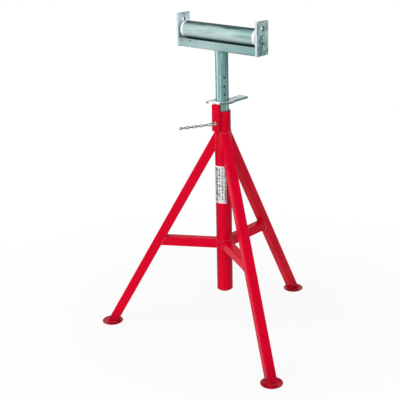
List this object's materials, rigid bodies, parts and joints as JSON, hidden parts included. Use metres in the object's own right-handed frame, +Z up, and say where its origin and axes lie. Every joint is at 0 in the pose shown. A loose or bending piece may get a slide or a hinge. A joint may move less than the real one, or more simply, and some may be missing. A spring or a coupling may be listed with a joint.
{
  "type": "pipe stand",
  "caption": "Tripod pipe stand with a height-adjustable post held by a friction plate and a roller head between two upright plates.",
  "frame": {"origin": "On the floor, on the axis of the column and post.", "axes": "+Z up along the column; +X along the roller at rest; +Y along the rear leg."},
  "size_m": [0.7006, 0.6155, 0.9805],
  "materials": {
    "paint_red": "gloss",
    "zinc": "satin",
    "roller_steel": "satin",
    "plain_steel": "satin",
    "nylon_white": "matte"
  },
  "bodies": {
    "base": {"base_column_tube": "paint_red", "base_column_cap": "paint_red", "base_lock_bracket": "paint_red", "base_pin_bush": "zinc", "base_leg_left": "paint_red", "base_brace_left": "paint_red", "base_foot_left": "paint_red", "base_leg_front": "paint_red", "base_brace_front": "paint_red", "base_foot_front": "paint_red", "base_leg_rear": "paint_red", "base_brace_rear": "paint_red", "base_foot_rear": "paint_red"},
    "guide": {"guide_ring": "nylon_white"},
    "post": {"post_tube": "zinc", "post_ring_keeper": "zinc", "head_channel": "zinc", "head_plate_left": "zinc", "head_plate_right": "zinc", "head_axle": "plain_steel", "head_split_pins": "plain_steel", "axle_sleeve_left": "plain_steel", "axle_sleeve_right": "plain_steel"},
    "roller": {"roller_tube": "roller_steel", "roller_cap_left": "nylon_white", "roller_cap_right": "nylon_white"},
    "lock_plate": {"lock_plate": "zinc"},
    "lock_pin": {"pin_shank": "plain_steel", "pin_handle": "plain_steel"}
  },
  "joints": [
    {"name": "post_slide", "type": "slide", "parent": "base", "child": "guide", "axis": [0, 0, 1], "range_m": [-0.134, 0.3]},
    {"name": "post_turn", "type": "hinge", "parent": "guide", "child": "post", "pos_m": [0, 0, 0.884], "axis": [0, 0, 1], "continuous": true},
    {"name": "roller_spin", "type": "hinge", "parent": "post", "child": "roller", "pos_m": [0, 0, 0.9339], "axis": [1, 0, 0], "continuous": true},
    {"name": "lock_plate_tilt", "type": "hinge", "parent": "base", "child": "lock_plate", "pos_m": [0, -0.0289, 0.72725], "axis": [1, 0, 0], "range_deg": [-6.5, 5]},
    {"name": "lock_pin_pull", "type": "slide", "parent": "base", "child": "lock_pin", "axis": [0, -1, 0], "range_m": [0, 0.03]}
  ]
}
